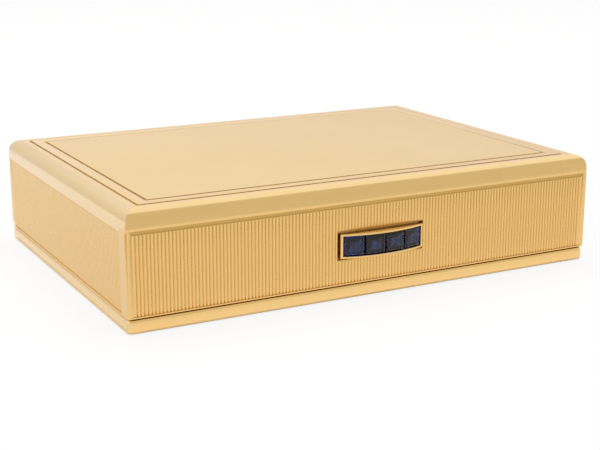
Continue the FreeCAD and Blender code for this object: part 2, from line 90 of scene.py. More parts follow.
# How hollow a point is, as its mesh's attribute says, which sets its painted shade: 0 in the open,
# 1 in a cove, more in the painted near-black of the slot. The near post's level, below 0, paints it
# a darker gold for the reflection it shows.
POST_LEVEL = -1.0
LINE_LEVEL = 0.45
MOUTH_LEVEL = 0.6
COVE_LEVEL = 1.0
REED_BACK_LEVEL = 1.6
SLOT_LEVEL = 2.0

# The studio: the world's and the floor's light, and the tints of the glowing cards that paint what
# the metal mirrors.
AMBIENT_LIGHT = 0.62
BACKGROUND = 1.0
FLOOR_SIZE = 6.0
FLOOR_LEVEL = -0.0002
FLOOR_LIFT = 0.8
FRONT_TINT = (0.69, 0.645, 0.52)
# The floor strips near the box glow in the darker, warmer tones of the floor's shade there: a
# painted shadow in the reflections.
NEAR_FLOOR_SHADE_TINT = (0.87, 0.79, 0.64)
FOOT_SHADE_TINTS = ((0.96, 0.86, 0.70), (0.85, 0.78, 0.66))
BACK_TINTS = ((0.937, 0.897, 0.83), (0.814, 0.762, 0.756))
# The left cards' middle and top glow a little blue, a painted cool light in the reflections.
LEFT_TINTS = ((0.87, 0.85, 0.84), (0.94, 0.97, 1.10), (0.76, 0.76, 0.78))
LOW_TINT = (0.82, 0.81, 0.84)
HIGH_TINT = (0.98, 1.03, 1.2)

# Where the cards stand. The floor's strips lie at slightly different levels.
WIDE_SPAN = (-3.0, 3.0)
LEFT_SPAN = (-2.0, 0.25)
LEFT_FLOOR_SPAN = (-2.0, -0.064)
FRONT_CARD_LINE = [(-0.31, 1.2), (-2.5, 1.2), (-2.5, 0.0)]
FRONT_FLOOR_LINE = [(-2.5, 0.0005), (-0.16, 0.0005)]
NEAR_FLOOR_LINE = [(-0.16, 0.0004), (-0.058, 0.0004)]
FOOT_FLOOR_LINE = [(-0.046, 0.0004), (-0.058, 0.0004)]
LEFT_FLOOR_LEVEL = 0.0006
LEFT_FLOOR_MARKS = (-0.05, 0.12, 0.20, 0.30, 1.4)
BACK_CARD_PLACE = 1.6
BACK_CARD_TOP = 0.85
BACK_CARD_FADE = (0.35, 1.45)
LEFT_CARD_PLACE = 1.4
LEFT_CARD_MIDDLE = 0.38
LEFT_CARD_TOP = 1.1

# The box's own sizes.
HALF_WIDTH = 63.5 * MM
HALF_DEPTH = 45.7 * MM
BOX_TOP = 27.9 * MM
TOP_UNDERSIDE = 27.0 * MM
CEILING = 26.0 * MM
CEILING_INSET = 2.4 * MM
WALL_TOP = 23.8 * MM
WALL_BOTTOM = 3.4 * MM
WALL_THICKNESS = 1.4 * MM
WALL_CORNER = 0.5 * MM
WALL_FOOT_ROUND = 0.25 * MM
POST_START = -41.8 * MM
MOULDING_CORNER = 0.5 * MM
BAND_THICKNESS = 1.7 * MM
PLINTH_TOP = 3.2 * MM
PLINTH_FOOT_ROUND = 0.4 * MM
PLINTH_TOP_ROUND = 0.65 * MM
PLINTH_CORNER = 1.5 * MM
HINGE_LINE = 45.4 * MM
HINGE_HEIGHT = 3.3 * MM
HINGE_NOTCH = 1.35 * MM
CUT_REACH = 100 * MM

# The hood's edge moulding and the rolled edges of the bands on its top. The edges' sections
# are insets and drops in millimetres.
EDGE_ROUND = 3.1 * MM
EDGE_STEPS = 16
FASCIA_LEAN = math.radians(7)
FASCIA_FOOT = 0.15 * MM
OUTER_LINE = 4.9 * MM
INNER_LINE = 8.3 * MM
LINE_WIDTH = 0.42 * MM
LINE_GAP = 0.02 * MM
LINES_START = 4.0 * MM
LINE_LIP = 0.04 * MM
GROOVE_FLOOR = [(-0.20, 0.36), (0.0, 0.34)]
GENTLE_EDGE = GROOVE_FLOOR + [
    (0.0, 0.20), (0.10, 0.11), (0.28, 0.05), (0.50, 0.015), (0.80, 0.0),
]
TIGHT_EDGE = GROOVE_FLOOR + [(0.0, 0.05), (0.01, 0.02), (0.03, 0.005), (0.06, 0.0)]

# The sunk field of each wall. Its sections are insets and rises in millimetres.
FIELD_TOP = WALL_TOP - 1.5 * MM
FIELD_DROP = 0.25 * MM
FIELD_FOOT = [(0.0, -0.1), (0.3, 0.0), (0.9, 0.0)]
COVE = [(0.90, 0.0), (0.34, 0.005), (0.40, 0.25), (0.38, 0.55), (0.25, 0.82), (0.0, 0.95)]
STEP = [(0.90, 0.0), (0.60, 0.01), (0.36, 0.03), (0.22, 0.10), (0.10, 0.19), (0.0, 0.30)]
COVE_RISE = 0.9 * MM
COVE_INSET = 0.02 * MM
MARK_SLACK = 0.01 * MM
END_SHELF = 0.31 * MM
END_RUN = 0.8 * MM
NEAR_RUN = 0.12 * MM
END_GAP = 0.02 * MM
END_RUNS = {
    "front": (END_RUN, END_RUN),
    "right": (NEAR_RUN, END_RUN),
    "back": (END_RUN, END_RUN),
    "left": (END_RUN, NEAR_RUN),
}

REED_PITCH = 0.876 * MM
REED_RISE = 0.16 * MM
REED_STEPS = 10
REED_END = 0.02 * MM
SIDE_REED_END = 0.22 * MM
REED_EASE = [0.0, 0.06, 0.22, 0.5, 1.0]
SAME_COLUMN = 2e-6
TOUCH = 1e-7

# The push-piece: a bezel bowed about an upright axis, and four step-cut stones.
PUSH_MIDDLE = 1.1 * MM
PUSH_HEIGHT = 13.1 * MM
PUSH_HALF = (11.45 * MM, 3.0 * MM)
RAILS = (0.65 * MM, 0.55 * MM)
BEZEL_STEPS = 24
BEZEL_SECTION = [
    (0.0, 0.26), (0.06, 0.12), (0.2, 0.03), (0.4, 0.0),
    (0.6, 0.0), (0.8, 0.03), (0.94, 0.12), (1.0, 0.26),
]
BOW_RADIUS = 33.78 * MM
BOW_CENTRE = -14.32 * MM
CHANNEL_DEPTH = 1.62 * MM
# Past these depths the channel's bed and the bezel's sides in the slot are painted near-black
# shade; from the slot's mouth on they get a lighter painted shade.
CHANNEL_DARK = 1.5 * MM
SLOT_MOUTH = -45.5 * MM
SLOT_DARK = -45.0 * MM
SLOT_MARGIN = 0.50 * MM
SLOT_END = 0.45 * MM
SLOT_CUT = (-50 * MM, -43 * MM)
SLOT_REACH = (12 * MM, 4 * MM)
SLOT_INSET = 0.35 * MM
STONE_COUNT = 4
STONE_HALF = (2.56 * MM, 2.38 * MM)
STONE_TURN = math.radians(9.32)
STONE_FACE = 0.12 * MM
STONE_CROWN = 0.42 * MM
STONE_CORNERS = ((-1, 1), (1, 1), (1, -1), (-1, -1))
STONE_SECTION = [
    (0.30, -0.96), (0.62, -0.74), (0.86, -0.40), (1.0, 0.0),
    (1.0, 0.06), (0.9, 0.28), (0.76, 0.42),
]

# How high, in millimetres, a facet has to lie to be glass, and to be bright blue, a painted inner
# flash, rather than navy.
GLASS_FROM = 0.01
BLUE_FROM = (-0.75, -0.5, -0.5, -0.5)

# The latch spring's leaf and its hook, whose section is insets and heights in millimetres.
LEAF_FRONT = 2.8 * MM
LEAF_BACK = 3.2 * MM
HOOK = [(2.8, 5.15), (1.85, 5.45), (1.85, 5.75)]
LEAF_STEPS = 24

SHARP_ANGLE = math.radians(28)
CORNER_STEPS = 6

# Each side's direction along it and its direction outwards.
SIDES = {
    "front": (Vector((1.0, 0.0, 0.0)), Vector((0.0, -1.0, 0.0))),
    "right": (Vector((0.0, 1.0, 0.0)), Vector((1.0, 0.0, 0.0))),
    "back": (Vector((-1.0, 0.0, 0.0)), Vector((0.0, 1.0, 0.0))),
    "left": (Vector((0.0, -1.0, 0.0)), Vector((-1.0, 0.0, 0.0))),
}

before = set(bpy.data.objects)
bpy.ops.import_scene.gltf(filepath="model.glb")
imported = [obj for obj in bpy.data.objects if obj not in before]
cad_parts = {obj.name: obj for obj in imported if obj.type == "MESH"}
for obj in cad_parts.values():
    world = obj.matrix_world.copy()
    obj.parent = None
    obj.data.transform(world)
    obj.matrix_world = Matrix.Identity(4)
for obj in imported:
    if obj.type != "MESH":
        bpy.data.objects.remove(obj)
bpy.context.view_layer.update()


def node_tree(name):
    """A new material and its node tree with a Principled shader."""
    material = bpy.data.materials.new(name)
    material.use_nodes = True
    return material, material.node_tree, material.node_tree.nodes["Principled BSDF"]


def add_node(tree, kind, **inputs):
    """Add a shader node. A name with a capital sets an input, any other a property."""
    node = tree.nodes.new(kind)
    for name, setting in inputs.items():
        label = name.replace("_", " ")
        if name[0].isupper():
            node.inputs[label].default_value = setting
        else:
            setattr(node, name, setting)
    return node


def stretched_noise(tree, stretch, scale, detail=3.0, roughness=0.55):
    """Noise in the piece's own coordinates, drawn out along some axes."""
    place = add_node(tree, "ShaderNodeTexCoord")
    mapping = add_node(tree, "ShaderNodeMapping", Scale=stretch)
    noise = add_node(tree, "ShaderNodeTexNoise", Scale=scale, Detail=detail, Roughness=roughness)
    tree.links.new(place.outputs["Object"], mapping.inputs["Vector"])
    tree.links.new(mapping.outputs["Vector"], noise.inputs["Vector"])
    return noise.outputs["Fac"]


def spread(tree, source, low, high, start=0.3, stop=0.7):
    """Map a range of a value, by default a noise's middle, to another range."""
    ramp = add_node(tree, "ShaderNodeMapRange")
    ramp.inputs["From Min"].default_value = start
    ramp.inputs["From Max"].default_value = stop
    ramp.inputs["To Min"].default_value = low
    ramp.inputs["To Max"].default_value = high
    tree.links.new(source, ramp.inputs["Value"])
    return ramp.outputs["Result"]


def mix_colours(tree, source, first, second):
    """Blend two colours, each given or taken from a node, by a value."""
    mix = add_node(tree, "ShaderNodeMix", data_type="RGBA")
    for socket, colour in zip([s for s in mix.inputs if s.type == "RGBA"], (first, second)):
        if isinstance(colour, tuple):
            socket.default_value = (*colour, 1.0)
        else:
            tree.links.new(colour, socket)
    tree.links.new(source, mix.inputs["Factor"])
    return [s for s in mix.outputs if s.type == "RGBA"][0]


def blend_between(tree, source, start, stop, first, second):
    """Blend two colours as a value goes from one mark to another."""
    return mix_colours(tree, spread(tree, source, 0.0, 1.0, start, stop), first, second)


def roughen(tree, shader, streaks, roughness, height):
    """Let a grain vary the roughness and raise a slight relief."""
    tree.links.new(spread(tree, streaks, *roughness), shader.inputs["Roughness"])
    relief = add_node(tree, "ShaderNodeBump", Strength=1.0, Distance=height)
    tree.links.new(streaks, relief.inputs["Height"])
    tree.links.new(relief.outputs["Normal"], shader.inputs["Normal"])


def shade(colour, amount):
    """A colour made lighter or darker."""
    return tuple(min(1.0, channel * amount) for channel in colour)


def gold(name, colour, roughness, grain, relief, shade_and_tarnish=SHADE_AND_TARNISH, shade_and_grime=SHADE_AND_GRIME):
    """Metal with a faint directional grain, with painted shade and tarnish darkening it where its
    surface is enclosed.
    """
    material, tree, shader = node_tree(name)
    shader.inputs["Metallic"].default_value = 1.0
    streaks = stretched_noise(tree, *grain)
    clouds = stretched_noise(tree, (0.08, 0.08, 1.0), 900.0, detail=2.0)
    dull, bright = shade(colour, 1 - CLOUD_VARIATION), shade(colour, 1 + CLOUD_VARIATION)
    tone = mix_colours(tree, clouds, dull, bright)
    level = add_node(tree, "ShaderNodeAttribute", attribute_name="hollow").outputs["Fac"]
    # The hollow level paints the near post's darker reflection tone, then the painted shade of
    # coves, lines and the slot's mouth, then the painted near-black of the slot.
    tone = blend_between(tree, level, POST_LEVEL, 0.0, POST_REFLECTION_TONE, tone)
    tone = blend_between(tree, level, 0.0, COVE_LEVEL, tone, HOLLOW_SHADE)
    tone = blend_between(tree, level, 1.1, 1.5, tone, SLOT_SHADE)
    # Painted shade: where the surface is enclosed, the colour darkens to a tarnish-coloured painted
    # shade and, deeper in, to a near-black one.
    enclosure = add_node(tree, "ShaderNodeAmbientOcclusion", samples=8, Distance=ENCLOSURE_REACH)
    openness = enclosure.outputs["AO"]
    tone = blend_between(tree, openness, 0.35, 0.85, shade_and_tarnish, tone)
    tone = blend_between(tree, openness, 0.08, 0.34, shade_and_grime, tone)
    tree.links.new(tone, shader.inputs["Base Color"])
    roughen(tree, shader, streaks, roughness, relief)
    return material


def reeded_gold():
    """Metal with painted shade that darkens its colour in the valleys between its reeds."""
    material, tree, shader = node_tree("gold_reeded")
    shader.inputs["Metallic"].default_value = 1.0
    streaks = stretched_noise(tree, *REED_GRAIN)
    level = add_node(tree, "ShaderNodeAttribute", attribute_name="hollow").outputs["Fac"]
    tone = blend_between(tree, level, 0.05, 0.85, REED_CREST, REED_VALLEY_SHADE)
    # Painted near-black shade on the plate's sides and back, seen in the slot.
    tone = blend_between(tree, level, 1.05, 1.3, tone, SLOT_SHADE)
    tree.links.new(tone, shader.inputs["Base Color"])
    roughen(tree, shader, streaks, (0.18, 0.30), 0.8e-6)
    return material


def sapphire_glass():
    """The clear front of a blue cut stone."""
    material, tree, shader = node_tree("sapphire")
    shader.inputs["Transmission Weight"].default_value = 1.0
    shader.inputs["IOR"].default_value = 1.5
    shader.inputs["Roughness"].default_value = 0.0
    zones = stretched_noise(tree, (1.0, 1.0, 1.0), 700.0, detail=2.0)
    tone = mix_colours(tree, zones, GLASS_DEEP, GLASS_PALE)
    tree.links.new(tone, shader.inputs["Base Color"])
    return material


def stone_back(name, dark, light):
    """A stone's back facets, which give its colour back from within; the bright blue kind is a
    painted inner flash.
    """
    material, tree, shader = node_tree(name)
    shader.inputs["Metallic"].default_value = 1.0
    shader.inputs["Roughness"].default_value = 0.12
    zones = stretched_noise(tree, (1.0, 1.0, 0.35), 900.0, detail=3.0)
    tone = blend_between(tree, zones, 0.38, 0.62, dark, light)
    tree.links.new(tone, shader.inputs["Base Color"])
    return material


def finish_nodes(names, material):
    """Give CAD nodes a finish."""
    for name in names:
        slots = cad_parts[name].data.materials
        slots.clear()
        slots.append(material)


def new_piece(name, mesh, body, nodes, material):
    """A piece that stands for CAD nodes and rides on their body."""
    piece = bpy.data.objects.new(name, mesh)
    bpy.context.scene.collection.objects.link(piece)
    mesh.materials.clear()
    mesh.materials.append(material)
    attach(piece, body)
    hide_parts(*nodes)


def make_camera():
    """The camera at the photograph's viewing angle."""
    data = bpy.data.cameras.new("camera")
    data.lens = CAMERA_LENS
    data.sensor_width = SENSOR_WIDTH
    data.clip_start, data.clip_end = CAMERA_CLIP
    camera = bpy.data.objects.new("camera", data)
    bpy.context.scene.collection.objects.link(camera)
    camera.location = CAMERA_PLACE
    turn = (math.radians(90 - CAMERA_ELEVATION), 0.0, math.radians(CAMERA_AZIMUTH))
    camera.rotation_euler = turn
    bpy.context.scene.camera = camera


def light_paths(tree, *outputs):
    """One when a ray is of any of the named kinds."""
    path = add_node(tree, "ShaderNodeLightPath")
    result = path.outputs[outputs[0]]
    for name in outputs[1:]:
        either = add_node(tree, "ShaderNodeMath", operation="MAXIMUM")
        tree.links.new(result, either.inputs[0])
        tree.links.new(path.outputs[name], either.inputs[1])
        result = either.outputs["Value"]
    return result


def make_world():
    """Even light all round, with a white background wherever it is seen or reflected."""
    world = bpy.data.worlds.new("studio")
    bpy.context.scene.world = world
    world.use_nodes = True
    tree = world.node_tree
    tree.nodes.clear()
    output = add_node(tree, "ShaderNodeOutputWorld")
    mix = add_node(tree, "ShaderNodeMixShader")
    ambient = add_node(tree, "ShaderNodeBackground", Color=WHITE, Strength=AMBIENT_LIGHT)
    shown = add_node(tree, "ShaderNodeBackground", Color=WHITE, Strength=BACKGROUND)
    seen = light_paths(tree, "Is Camera Ray", "Is Glossy Ray", "Is Transmission Ray")
    tree.links.new(seen, mix.inputs["Fac"])
    tree.links.new(ambient.outputs["Background"], mix.inputs[1])
    tree.links.new(shown.outputs["Background"], mix.inputs[2])
    tree.links.new(mix.outputs["Shader"], output.inputs["Surface"])


def make_floor():
    """A pale floor that keeps a soft shadow under a near-white background."""
    mesh = bpy.data.meshes.new("floor")
    grid = bmesh.new()
    bmesh.ops.create_grid(grid, x_segments=1, y_segments=1, size=FLOOR_SIZE)
    grid.to_mesh(mesh)
    grid.free()
    floor = bpy.data.objects.new("floor", mesh)
    bpy.context.scene.collection.objects.link(floor)
    material, tree, shader = node_tree("floor")
    output = tree.nodes["Material Output"]
    shader.inputs["Base Color"].default_value = (*FLOOR_COLOUR, 1.0)
    shader.inputs["Roughness"].default_value = 0.9
    shader.inputs["Specular IOR Level"].default_value = 0.0
    white = add_node(tree, "ShaderNodeEmission", Color=WHITE, Strength=1.0)
    mix = add_node(tree, "ShaderNodeMixShader")
    lift = add_node(tree, "ShaderNodeMath", operation="MULTIPLY")
    lift.inputs[1].default_value = FLOOR_LIFT
    tree.links.new(light_paths(tree, "Is Camera Ray"), lift.inputs[0])
    tree.links.new(lift.outputs["Value"], mix.inputs["Fac"])
    tree.links.new(shader.outputs["BSDF"], mix.inputs[1])
    tree.links.new(white.outputs["Emission"], mix.inputs[2])
    tree.links.new(mix.outputs["Shader"], output.inputs["Surface"])
    mesh.materials.append(material)
    floor.location.z = FLOOR_LEVEL


def make_lamp(name, place, size, power):
    """A large square softbox that faces the box."""
    data = bpy.data.lights.new(name, "AREA")
    data.shape = "SQUARE"
    data.size = size
    data.energy = power
    lamp = bpy.data.objects.new(name, data)
    bpy.context.scene.collection.objects.link(lamp)
    lamp.location = place
    lamp.rotation_mode = "QUATERNION"
    lamp.rotation_quaternion = Vector(place).to_track_quat("Z", "Y")
    lamp.visible_glossy = False
    lamp.visible_camera = False


def make_card(name, edges, colour, last_colour=None):
    """A tinted card that glows only in reflections, a painted reflection, drawn through a row of
    pairs of points.

    Its colour may change evenly from the first pair to the last."""
    mesh = bpy.data.meshes.new(name)
    points = [point for edge in edges for point in edge]
    faces = [(i, i + 1, i + 3, i + 2) for i in range(0, len(points) - 2, 2)]
    mesh.from_pydata(points, [], faces)
    share = mesh.attributes.new("share", "FLOAT", "POINT")
    for index, item in enumerate(share.data):
        item.value = (index // 2) / (len(edges) - 1)
    card = bpy.data.objects.new(name, mesh)
    bpy.context.scene.collection.objects.link(card)
    material = bpy.data.materials.new(name)
    material.use_nodes = True
    tree = material.node_tree
    tree.nodes.clear()
    output = add_node(tree, "ShaderNodeOutputMaterial")
    glow = add_node(tree, "ShaderNodeEmission", Strength=1.0)
    place = add_node(tree, "ShaderNodeAttribute", attribute_name="share")
    tint = mix_colours(tree, place.outputs["Fac"], colour, last_colour or colour)
    tree.links.new(tint, glow.inputs["Color"])
    tree.links.new(glow.outputs["Emission"], output.inputs["Surface"])
    mesh.materials.append(material)
    card.visible_camera = False
    card.visible_diffuse = False
    card.visible_shadow = False
    card.visible_transmission = False


def across_x(line, span=WIDE_SPAN):
    """Pairs of points that draw a line in the YZ plane out along X."""
    return [((span[0], y, z), (span[1], y, z)) for y, z in line]


def upright_strip(first, last):
    """Pairs of points for a strip of the card behind the box, from left to right."""
    return [((x, BACK_CARD_PLACE, 0.0), (x, BACK_CARD_PLACE, BACK_CARD_TOP)) for x in (first, last)]


def make_cards():
    """The glowing tinted cards and floor strips that paint the metal's reflections."""
    make_card("front_card", across_x(FRONT_CARD_LINE), FRONT_TINT)
    make_card("front_floor", across_x(FRONT_FLOOR_LINE), FRONT_TINT)
    make_card("near_floor_shade", across_x(NEAR_FLOOR_LINE), NEAR_FLOOR_SHADE_TINT)
    make_card("foot_floor_shade", across_x(FOOT_FLOOR_LINE), *FOOT_SHADE_TINTS)

    left_end, right_end = WIDE_SPAN
    fade_start, fade_stop = BACK_CARD_FADE
    make_card("back_card_left", upright_strip(left_end, fade_start), BACK_TINTS[0])
    make_card("back_card", upright_strip(fade_start, fade_stop), *BACK_TINTS)
    make_card("back_card_right", upright_strip(fade_stop, right_end), BACK_TINTS[1])

    near, middle, far = LEFT_TINTS
    strips = {
        "left_floor": (near, middle),
        "left_floor_middle": (middle, middle),
        "left_floor_beyond": (middle, far),
        "left_floor_far": (far, far),
    }
    for index, (name, tints) in enumerate(strips.items()):
        line = [(y, LEFT_FLOOR_LEVEL) for y in LEFT_FLOOR_MARKS[index:index + 2]]
        make_card(name, across_x(line, LEFT_FLOOR_SPAN), *tints)
    low = [(LEFT_CARD_PLACE, z) for z in (0.0, LEFT_CARD_MIDDLE)]
    make_card("low_left_card", across_x(low, LEFT_SPAN), far, LOW_TINT)
    high = [(LEFT_CARD_PLACE, z) for z in (LEFT_CARD_MIDDLE, LEFT_CARD_TOP)]
    make_card("high_left_card", across_x(high, LEFT_SPAN), LOW_TINT, HIGH_TINT)


def make_studio():
    """The floor, the light and the tinted parts of the studio."""
    make_world()
    make_floor()
    make_lamp("softbox_top", (0.1, 0.2, 1.2), 1.2, 9.0)
    make_lamp("softbox_left", (-1.1, -0.3, 0.7), 0.9, 4.0)
    make_cards()


def smooth_by_angle(mesh):
    """Shade a mesh smooth except at its sharp edges."""
    for polygon in mesh.polygons:
        polygon.use_smooth = True
    mesh.set_sharp_from_angle(angle=SHARP_ANGLE)


def finished_mesh(grid, name):
    """Turn a grid of faces into a mesh with outward faces and smooth shading."""
    bmesh.ops.remove_doubles(grid, verts=grid.verts, dist=TOUCH)
    bmesh.ops.recalc_face_normals(grid, faces=grid.faces)
    mesh = bpy.data.meshes.new(name)
    grid.to_mesh(mesh)
    grid.free()
    smooth_by_angle(mesh)
    return mesh


def cap(grid, row, flat):
    """Close a ring of points with one face, or with a strip of faces across it."""
    if flat:
        grid.faces.new(row)
        return
    last = len(row) - 1
    for i in range(len(row) // 2 - 1):
        grid.faces.new((row[i], row[i + 1], row[last - i - 1], row[last - i]))


def lofted(name, rings, flat_ends=True, joined=False):
    """A closed mesh through rings of points."""
    grid = bmesh.new()
    rows = [[grid.verts.new(point) for point in ring] for ring in rings]
    pairs = list(zip(rows, rows[1:]))
    if joined:
        pairs.append((rows[-1], rows[0]))
    for row, following in pairs:
        for i in range(len(row)):
            j = (i + 1) % len(row)
            grid.faces.new((row[i], row[j], following[j], following[i]))
    if not joined:
        cap(grid, rows[0], flat_ends)
        cap(grid, rows[-1], flat_ends)
    return finished_mesh(grid, name)


def side_halves(side):
    """Half the box's size across a side and along it."""
    if side in ("front", "back"):
        return HALF_DEPTH, HALF_WIDTH
    return HALF_WIDTH, HALF_DEPTH


def swept_side(name, side, profile, corner, field=None, field_profile=None):
    """One side of a ring, between its mitres: insets and heights drawn along the side.

    The ring's corner is rounded in plan. The field is the start and stop, along the side, of
    another profile, with the run of the slope at each end."""
    along, outward = SIDES[side]
    reach, half = side_halves(side)

    def at_corner(turn, end):
        ring = []
        for inset, height in profile:
            pivot = max(corner, inset)
            radius = pivot - inset
            step = end * (half - pivot + radius * math.sin(turn))
            out = reach - pivot + radius * math.cos(turn)
            ring.append(along * step + outward * out + UP * height)
        return ring

    turns = [math.radians(45) * index / CORNER_STEPS for index in range(CORNER_STEPS + 1)]
    rings = [at_corner(turn, -1) for turn in reversed(turns)]
    if field:
        start, stop, first_run, last_run = field
        shelf = [(min(inset, max(END_SHELF, plain[0])), height)
                 for (inset, height), plain in zip(field_profile, profile)]
        stations = [(start - first_run, profile), (start - END_GAP, shelf), (start, field_profile)]
        stations += [(stop, field_profile), (stop + END_GAP, shelf), (stop + last_run, profile)]
        for step, chosen in stations:
            ring = []
            for inset, height in chosen:
                held = max(inset - half, min(half - inset, step))
                ring.append(along * held + outward * (reach - inset) + UP * height)
            rings.append(ring)
    rings += [at_corner(turn, 1) for turn in turns]
    return lofted(name, rings)


def cut_block(mesh, low, high):
    """A mesh with a block of space cut out of it."""
    thing = bpy.data.objects.new("cut_from", mesh)
    block_mesh = bpy.data.meshes.new("cutter")
    grid = bmesh.new()
    bmesh.ops.create_cube(grid, size=1.0)
    for vertex in grid.verts:
        vertex.co = Vector([l + (c + 0.5) * (h - l) for c, l, h in zip(vertex.co, low, high)])
    grid.to_mesh(block_mesh)
    grid.free()
    cutter = bpy.data.objects.new("cutter", block_mesh)
    for item in (thing, cutter):
        bpy.context.scene.collection.objects.link(item)
    boolean = thing.modifiers.new("cut", "BOOLEAN")
    boolean.operation = "DIFFERENCE"
    boolean.solver = "EXACT"
    boolean.object = cutter
    graph = bpy.context.evaluated_depsgraph_get()
    result = bpy.data.meshes.new_from_object(thing.evaluated_get(graph))
    bpy.data.objects.remove(thing)
    bpy.data.objects.remove(cutter)
    smooth_by_angle(result)
    return result


def arc(centre, radius, start, stop, steps):
    """Insets and heights round an arc. Angles are in degrees: 0 faces outwards and 90 up."""
    points = []
    for index in range(steps + 1):
        turn = math.radians(start + (stop - start) * index / steps)
        points.append((centre[0] - radius * math.cos(turn), centre[1] + radius * math.sin(turn)))
    return points


def rolled(edge, direction, section):
    """The rolled edge of a band, from its foot in the line up to its flat."""
    return [(edge + direction * inset * MM, BOX_TOP - drop * MM) for inset, drop in section]


def moulding_profile():
    """The edge moulding: an undercut foot, a leaning fascia, a quarter round and a flat."""
    lean = math.degrees(FASCIA_LEAN)
    round_centre_height = BOX_TOP - EDGE_ROUND
    fascia_top = round_centre_height + EDGE_ROUND * math.sin(FASCIA_LEAN)
    fascia_foot = WALL_TOP + FASCIA_FOOT
    lean_depth = (fascia_top - fascia_foot) * math.tan(FASCIA_LEAN)
    centre = (lean_depth + EDGE_ROUND * math.cos(FASCIA_LEAN), round_centre_height)
    profile = [(0.0, WALL_TOP), (0.0, fascia_foot)]
    profile += arc(centre, EDGE_ROUND, lean, 90, EDGE_STEPS)
    profile += list(reversed(rolled(OUTER_LINE - LINE_WIDTH / 2, -1, GENTLE_EDGE)))
    inner = OUTER_LINE - LINE_GAP / 2
    profile += [(inner, TOP_UNDERSIDE), (CEILING_INSET, TOP_UNDERSIDE), (CEILING_INSET, CEILING)]
    profile.append((WALL_THICKNESS, WALL_TOP))
    return profile


def wall_profiles(bottom, slope):
    """A wall's plain profile, and the one with the sunk field for its reeding."""
    foot_centre = (WALL_FOOT_ROUND, WALL_BOTTOM + WALL_FOOT_ROUND)
    foot = arc(foot_centre, WALL_FOOT_ROUND, -90, 0, 4)
    sunk = [(inset * MM, bottom + rise * MM) for inset, rise in FIELD_FOOT]
    sunk += [(inset * MM, FIELD_TOP + rise * MM) for inset, rise in slope]
    plain = [(0.0, height) for _, height in sunk]
    back = [(0.0, WALL_TOP), (WALL_THICKNESS, WALL_TOP), (WALL_THICKNESS, WALL_BOTTOM)]
    return foot + plain + back, foot + sunk + back


def plinth_profile():
    """The plinth's band, rounded at its foot and at its top edge."""
    foot = arc((PLINTH_FOOT_ROUND, PLINTH_FOOT_ROUND), PLINTH_FOOT_ROUND, -90, 0, 8)
    head_centre = (PLINTH_TOP_ROUND, PLINTH_TOP - PLINTH_TOP_ROUND)
    head = arc(head_centre, PLINTH_TOP_ROUND, 0, 90, 6)
    return foot + head + [(BAND_THICKNESS, PLINTH_TOP), (BAND_THICKNESS, 0.0)]


def mark_hollow(mesh, measure):
    """Give each point of a mesh its level of hollowness, which sets its painted shade."""
    hollow = mesh.attributes.new("hollow", "FLOAT", "POINT")
    for vertex, item in zip(mesh.vertices, hollow.data):
        item.value = measure(vertex.co)


def wall_hollow(side):
    """How hollow a wall is, for its painted shade over its reeding and in the front's slot, and for
    the near post's painted reflection tone.
    """
    outward = SIDES[side][1]
    reach = side_halves(side)[0]

    def measure(point):
        inset = reach - point.dot(outward)
        past_middle = abs(point.x - PUSH_MIDDLE), abs(point.z - PUSH_HEIGHT)
        in_slot = past_middle[0] < SLOT_REACH[0] and past_middle[1] < SLOT_REACH[1]
        if side == "front" and in_slot and inset > SLOT_INSET:
            return SLOT_LEVEL
        in_cove = FIELD_TOP - MARK_SLACK < point.z < FIELD_TOP + COVE_RISE
        if in_cove and inset > COVE_INSET:
            return COVE_LEVEL
        return POST_LEVEL if side == "left" and point.y < POST_START else 0.0

    return measure


def line_hollow(point):
    """How hollow the hood's top is, for the painted shade of the engraved lines' walls and their
    rolled lips.
    """
    inset = min(HALF_WIDTH - abs(point.x), HALF_DEPTH - abs(point.y))
    drop = BOX_TOP - point.z
    return LINE_LEVEL if inset > LINES_START and drop > LINE_LIP else 0.0


def make_shell(material, edge_material):
    """The plinth's band, the walls and the edge mouldings, one piece for each side."""
    notch_low = (-CUT_REACH, HINGE_LINE - HINGE_NOTCH, HINGE_HEIGHT - HINGE_NOTCH)
    notch_high = (CUT_REACH, HINGE_LINE + 4 * HINGE_NOTCH, HINGE_HEIGHT + HINGE_NOTCH)
    bezel_low, bezel_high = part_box("push_bezel")
    slot_low = (bezel_low.x - SLOT_MARGIN, SLOT_CUT[0], bezel_low.z - SLOT_MARGIN)
    slot_high = (bezel_high.x + SLOT_MARGIN, SLOT_CUT[1], bezel_high.z + SLOT_MARGIN)
    for side, (along, _) in SIDES.items():
        low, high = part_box(f"reeded_{side}")
        field = (*sorted((low.dot(along), high.dot(along))), *END_RUNS[side])
        slope = COVE if side in ("front", "back") else STEP
        plain, sunk = wall_profiles(low.z - FIELD_DROP, slope)
        wall = swept_side(f"hood_wall_{side}", side, plain, WALL_CORNER, field, sunk)
        plinth = swept_side(f"base_band_{side}", side, plinth_profile(), PLINTH_CORNER)
        edge = swept_side(f"hood_edge_{side}", side, moulding_profile(), MOULDING_CORNER)
        if side == "front":
            wall = cut_block(wall, slot_low, slot_high)
        else:
            wall = cut_block(wall, notch_low, notch_high)
            plinth = cut_block(plinth, notch_low, notch_high)
        mark_hollow(wall, wall_hollow(side))
        mark_hollow(edge, line_hollow)
        pieces = (
            (f"hood_wall_{side}", wall, "lid", [f"wall_{side}"], material),
            (f"base_band_{side}", plinth, "base", [f"plinth_{side}"], material),
            (f"hood_edge_{side}", edge, "lid", [f"edge_moulding_{side}"], edge_material),
        )
        for name, mesh, body, nodes, finish in pieces:
            new_piece(name, mesh, body, nodes, finish)


def plan_ring(inset, height):
    """The four corners of a rectangle in plan."""
    x, y = HALF_WIDTH - inset, HALF_DEPTH - inset
    return [(-x, -y, height), (x, -y, height), (x, y, height), (-x, y, height)]


